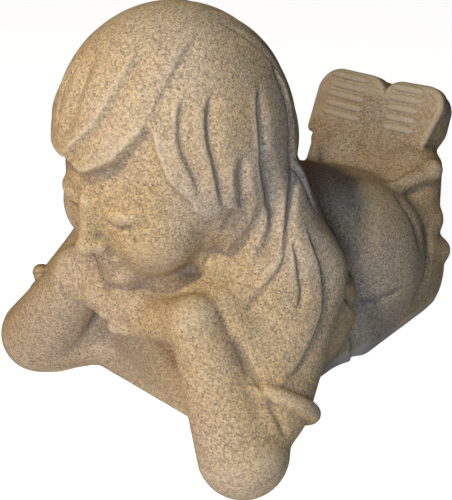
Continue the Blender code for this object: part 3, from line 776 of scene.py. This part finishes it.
def ribTree(stone):
    tree = bpy.data.node_groups.new("soleRibs", "GeometryNodeTree")
    sockets = tree.interface
    sockets.new_socket("Geometry", in_out="INPUT", socket_type="NodeSocketGeometry")
    kinds = dict(Count="Int", Pitch="Float", Length="Float", Thickness="Float")
    for name, kind in kinds.items():
        sockets.new_socket(name, in_out="INPUT", socket_type="NodeSocket" + kind)
    sockets.new_socket("Geometry", in_out="OUTPUT", socket_type="NodeSocketGeometry")
    nodes, link = tree.nodes, tree.links.new
    given = nodes.new("NodeGroupInput")

    def maths(operation, first, second=None):
        node = nodes.new("ShaderNodeMath")
        node.operation = operation
        for socket, value in zip(node.inputs, (first, second)):
            if isinstance(value, (int, float)):
                socket.default_value = value
            elif value:
                link(value, socket)
        return node.outputs[0]

    def vector(**axes):
        node = nodes.new("ShaderNodeCombineXYZ")
        for axis, value in axes.items():
            link(value, node.inputs[axis])
        return node.outputs[0]

    half = maths("MULTIPLY", given.outputs["Length"], 0.5)
    bar = nodes.new("GeometryNodeCurvePrimitiveLine")
    link(vector(X=maths("MULTIPLY", half, -1.0)), bar.inputs["Start"])
    link(vector(X=half), bar.inputs["End"])
    even = nodes.new("GeometryNodeResampleCurve")
    even.inputs["Count"].default_value = 15
    link(bar.outputs["Curve"], even.inputs["Curve"])
    # the bar thins to nothing at both ends
    share = nodes.new("GeometryNodeSplineParameter").outputs["Factor"]
    off = maths("ABSOLUTE", maths("SUBTRACT", maths("MULTIPLY", share, 2.0), 1.0))
    full = maths("POWER", maths("SUBTRACT", 1.001, maths("POWER", off, 5.0)), 0.5)
    tapered = nodes.new("GeometryNodeSetCurveRadius")
    link(even.outputs["Curve"], tapered.inputs["Curve"])
    link(full, tapered.inputs["Radius"])
    section = nodes.new("GeometryNodeCurvePrimitiveCircle")
    section.inputs["Resolution"].default_value = 12
    link(given.outputs["Thickness"], section.inputs["Radius"])
    solid = nodes.new("GeometryNodeCurveToMesh")
    link(tapered.outputs["Curve"], solid.inputs["Curve"])
    link(section.outputs["Curve"], solid.inputs["Profile Curve"])
    solid.inputs["Fill Caps"].default_value = True
    link(full, solid.inputs["Scale"])
    row = nodes.new("GeometryNodeMeshLine")
    link(given.outputs["Count"], row.inputs["Count"])
    link(vector(Z=given.outputs["Pitch"]), row.inputs["Offset"])
    spread = nodes.new("GeometryNodeInstanceOnPoints")
    link(row.outputs["Mesh"], spread.inputs["Points"])
    link(solid.outputs["Mesh"], spread.inputs["Instance"])
    real = nodes.new("GeometryNodeRealizeInstances")
    link(spread.outputs["Instances"], real.inputs["Geometry"])
    dressed = nodes.new("GeometryNodeSetMaterial")
    dressed.inputs["Material"].default_value = stone
    link(real.outputs["Geometry"], dressed.inputs["Geometry"])
    link(dressed.outputs["Geometry"], nodes.new("NodeGroupOutput").inputs["Geometry"])
    return tree


def ribsOn(tree, name, sole, length, shift, stand):
    piece = bpy.data.objects.new(name, bpy.data.meshes.new(name))
    bpy.context.collection.objects.link(piece)
    modifier = piece.modifiers.new("Ribs", "NODES")
    modifier.node_group = tree
    sizes = dict(
        Count=shoePair["ribCount"], Pitch=shoePair["ribPitch"],
        Length=length, Thickness=shoePair["ribThickness"],
    )
    for item in tree.interface.items_tree:
        if item.in_out == "INPUT" and item.name in sizes:
            modifier[item.identifier] = sizes[item.name]
    mesh = bpy.data.meshes.new_from_object(piece.evaluated_get(bpy.context.evaluated_depsgraph_get()))
    piece.modifiers.remove(modifier)
    turn, heel = soleFrame(*sole)
    sunk = shoePair["ribSunk"] * shoePair["ribThickness"]
    first = Matrix.Translation((shift, sunk, shoePair["firstRib"]))
    mesh.transform(stand @ Matrix.Translation(heel) @ turn.to_4x4() @ first)
    # the ribs get the painted highlight all over, so they count as standing out all over
    paintedHighlight = mesh.attributes.new("hollow", "FLOAT", "POINT")
    paintedHighlight.data.foreach_set("value", np.full(len(mesh.vertices), -1.0))
    mesh.shade_smooth()
    mesh.name = name
    piece.data = mesh
    return piece


# Stone

stoneLook = dict(
    sand=(0.425, 0.335, 0.25),
    ochre=(0.42, 0.30, 0.165),
    # colour of the painted shade in the hollows
    creaseShade=(0.17, 0.145, 0.115),
    darkGrain=(0.10, 0.085, 0.065),
    paleGrain=(0.66, 0.58, 0.47),
    # colour of the painted highlight on the ridges and on the sole ribs
    paintedHighlight=(0.66, 0.56, 0.43),
    # colour of the painted shadow of the left forearm on the chest
    stain=(0.50, 0.36, 0.20),
    grainSize=0.00105,          # metres
    grainLight=(0.62, 1.38),
    darkFrom=(0.91, 0.95),      # grains past these shares are dark, and so for the pale ones
    paleFrom=(0.93, 0.97),
    roughness=0.94,
    pitDepth=0.0006,            # metres
)


class Shader:
    # small helper for wiring a material or a node group
    def __init__(self, tree):
        self.nodes, self.link = tree.nodes, tree.links.new

    def put(self, kind, settings=None, **inputs):
        node = self.nodes.new("ShaderNode" + kind)
        for name, value in (settings or {}).items():
            setattr(node, name, value)
        for name, value in inputs.items():
            socket = node.inputs[name.replace("_", " ")]
            if isinstance(value, bpy.types.NodeSocket):
                self.link(value, socket)
            else:
                socket.default_value = value
        return node

    def maths(self, operation, first, second=0.0):
        node = self.nodes.new("ShaderNodeMath")
        node.operation = operation
        for socket, value in zip(node.inputs, (first, second)):
            if isinstance(value, bpy.types.NodeSocket):
                self.link(value, socket)
            else:
                socket.default_value = value
        return node.outputs[0]

    def span(self, value, low, high, to=(0.0, 1.0)):
        node = self.put("MapRange", dict(clamp=True), Value=value)
        for index, edge in enumerate((low, high, *to)):
            node.inputs[index + 1].default_value = edge
        return node.outputs[0]

    def mixed(self, blend, share, first, second):
        node = self.nodes.new("ShaderNodeMix")
        node.data_type, node.blend_type = "RGBA", blend
        sockets = (node.inputs[index] for index in (0, 6, 7))   # factor and the two colours
        for socket, value in zip(sockets, (share, first, second)):
            if isinstance(value, bpy.types.NodeSocket):
                self.link(value, socket)
            else:
                socket.default_value = value if isinstance(value, float) else (*value, 1)
        return node.outputs[2]


def castStone():
    stone = bpy.data.materials.new("sandyCastStone")
    stone.use_nodes = True
    wire = Shader(stone.node_tree)
    place = wire.put("TexCoord").outputs["Object"]
    surface = stone.node_tree.nodes["Principled BSDF"]
    grain = 1 / stoneLook["grainSize"]

    drift = wire.put("TexNoise", Vector=place, Scale=9.0, Detail=2.0).outputs["Fac"]
    tone = wire.mixed("MIX", wire.span(drift, 0.4, 0.65), stoneLook["sand"], stoneLook["ochre"])
    cells = wire.put("TexVoronoi", Vector=place, Scale=grain)
    chance = wire.put("SeparateColor", Color=cells.outputs["Color"])
    # every grain has its own lightness, and a few of them are dark or pale
    light = wire.span(chance.outputs["Red"], 0.0, 1.0, stoneLook["grainLight"])
    grey = wire.put("CombineColor", Red=light, Green=light, Blue=light).outputs[0]
    tone = wire.mixed("MULTIPLY", 1.0, tone, grey)
    dark = wire.span(chance.outputs["Green"], *stoneLook["darkFrom"])
    pale = wire.span(chance.outputs["Blue"], *stoneLook["paleFrom"])
    tone = wire.mixed("MIX", wire.maths("MULTIPLY", dark, 0.6), tone, stoneLook["darkGrain"])
    tone = wire.mixed("MIX", wire.maths("MULTIPLY", pale, 0.35), tone, stoneLook["paleGrain"])
    # painted shade in the hollows, painted highlight on the ridges, and the painted shadow of the left
    # forearm on the chest
    hollow = wire.put("Attribute", dict(attribute_name="hollow")).outputs["Fac"]
    tone = wire.mixed("MIX", wire.span(hollow, 0.1, 1.0, (0.0, 0.6)), tone, stoneLook["creaseShade"])
    tone = wire.mixed("MIX", wire.span(hollow, -0.25, -1.0, (0.0, 0.6)), tone, stoneLook["paintedHighlight"])
    stain = wire.put("Attribute", dict(attribute_name="stain")).outputs["Fac"]
    tone = wire.mixed("MULTIPLY", wire.maths("MULTIPLY", stain, 0.55), tone, stoneLook["stain"])
    wire.link(tone, surface.inputs["Base Color"])
    surface.inputs["Roughness"].default_value = stoneLook["roughness"]

    pits = wire.put("TexNoise", Vector=place, Scale=grain * 0.6, Detail=3.0).outputs["Fac"]
    height = wire.maths("ADD", wire.maths("MULTIPLY", cells.outputs["Distance"], -0.5), pits)
    bump = wire.put("Bump", Strength=0.6, Distance=stoneLook["pitDepth"], Height=height)
    wire.link(bump.outputs[0], surface.inputs["Normal"])
    return stone


# Studio

studio = dict(
    azimuth=42.95, elevation=28.0, roll=-1.0,   # degrees, from the child's front to its left
    distance=3.94,                      # head widths
    target=(0.005, 0.585, 0.56),        # head widths
    lens=43.2, sensor=24.0,             # millimetres
    headMiddle=(0.0, -0.107, 0.188),    # metres, what the lamps point at
    floor=0.8,
    glow=0.93,                          # what the camera sees of the floor beside its own light
)


def lookFrom(place, target, roll=0.0):
    ahead = (Vector(target) - Vector(place)).normalized()
    across = ahead.cross(Vector((0, 0, 1))).normalized()
    upward = across.cross(ahead)
    spin = math.radians(roll)
    x = across * math.cos(spin) + upward * math.sin(spin)
    y = upward * math.cos(spin) - across * math.sin(spin)
    turn = Matrix((x, y, -ahead)).transposed().to_4x4()
    return Matrix.Translation(place) @ turn


def camera(stand):
    target = stand @ Vector(studio["target"])
    a, e = math.radians(studio["azimuth"]), math.radians(studio["elevation"])
    back = Vector((math.sin(a) * math.cos(e), -math.cos(a) * math.cos(e), math.sin(e)))
    lens = bpy.data.cameras.new("camera")
    lens.sensor_fit, lens.sensor_height, lens.lens = "VERTICAL", studio["sensor"], studio["lens"]
    lens.clip_start = 0.01
    piece = bpy.data.objects.new("camera", lens)
    place = target + back * studio["distance"] * clayWork["headWidth"]
    piece.matrix_world = lookFrom(place, target, studio["roll"])
    bpy.context.collection.objects.link(piece)
    bpy.context.scene.camera = piece


def lamp(name, direction, distance, size, power, colour):
    light = bpy.data.lights.new(name, "AREA")
    light.size, light.energy, light.color = size, power, colour
    piece = bpy.data.objects.new(name, light)
    target = Vector(studio["headMiddle"])
    piece.matrix_world = lookFrom(target + Vector(direction).normalized() * distance, target)
    bpy.context.collection.objects.link(piece)


def lights():
    # direction from the head, distance and size in metres, watts, colour
    lamp("warmKey", (0.125, -0.60, 0.79), 0.75, 0.05, 3.6, (1.0, 0.88, 0.57))
    lamp("coolFlash", (0.65, -0.70, 0.31), 0.70, 0.16, 2.7, (0.56, 0.73, 1.0))
    lamp("lowFront", (0.30, -0.95, 0.05), 0.80, 0.3, 2.0, (1.0, 0.78, 0.48))
    lamp("warmSide", (-0.72, -0.60, 0.34), 0.90, 0.5, 0.8, (1.0, 0.36, 0.10))
    world = bpy.data.worlds.new("studio")
    world.use_nodes = True
    world.node_tree.nodes["Background"].inputs["Color"].default_value = (1, 1, 1, 1)
    world.node_tree.nodes["Background"].inputs["Strength"].default_value = 0.01
    bpy.context.scene.world = world
    bpy.context.scene.view_settings.view_transform = "Standard"


def paleFloor():
    mesh = bpy.data.meshes.new("floor")
    half = 4.0
    corners = [(-half, -half, 0), (half, -half, 0), (half, half, 0), (-half, half, 0)]
    mesh.from_pydata(corners, [], [(0, 1, 2, 3)])
    piece = bpy.data.objects.new("floor", mesh)
    bpy.context.collection.objects.link(piece)
    pale = bpy.data.materials.new("paleFloor")
    pale.use_nodes = True
    surface = pale.node_tree.nodes["Principled BSDF"]
    surface.inputs["Base Color"].default_value = (studio["floor"],) * 3 + (1,)
    surface.inputs["Roughness"].default_value = 0.9
    surface.inputs["Emission Color"].default_value = (1, 1, 1, 1)
    seen = pale.node_tree.nodes.new("ShaderNodeLightPath").outputs["Is Camera Ray"]
    glow = pale.node_tree.nodes.new("ShaderNodeMath")
    glow.operation = "MULTIPLY"
    glow.inputs[1].default_value = studio["glow"]
    pale.node_tree.links.new(seen, glow.inputs[0])
    pale.node_tree.links.new(glow.outputs[0], surface.inputs["Emission Strength"])
    mesh.materials.append(pale)


stone = castStone()
figurePiece, stand = childFigure(stone)
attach(figurePiece, "root")
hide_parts("child_statue")

tree = ribTree(stone)
ribNames = ("rightSoleRibs", "leftSoleRibs")
ribRows = zip(ribNames, shoePair["soles"], shoePair["ribLength"], shoePair["ribShift"])
for name, sole, length, shift in ribRows:
    ribs = ribsOn(tree, name, sole, length, shift, stand)
    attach(ribs, "root")
print("soles ribbed")

camera(stand)
lights()
paleFloor()
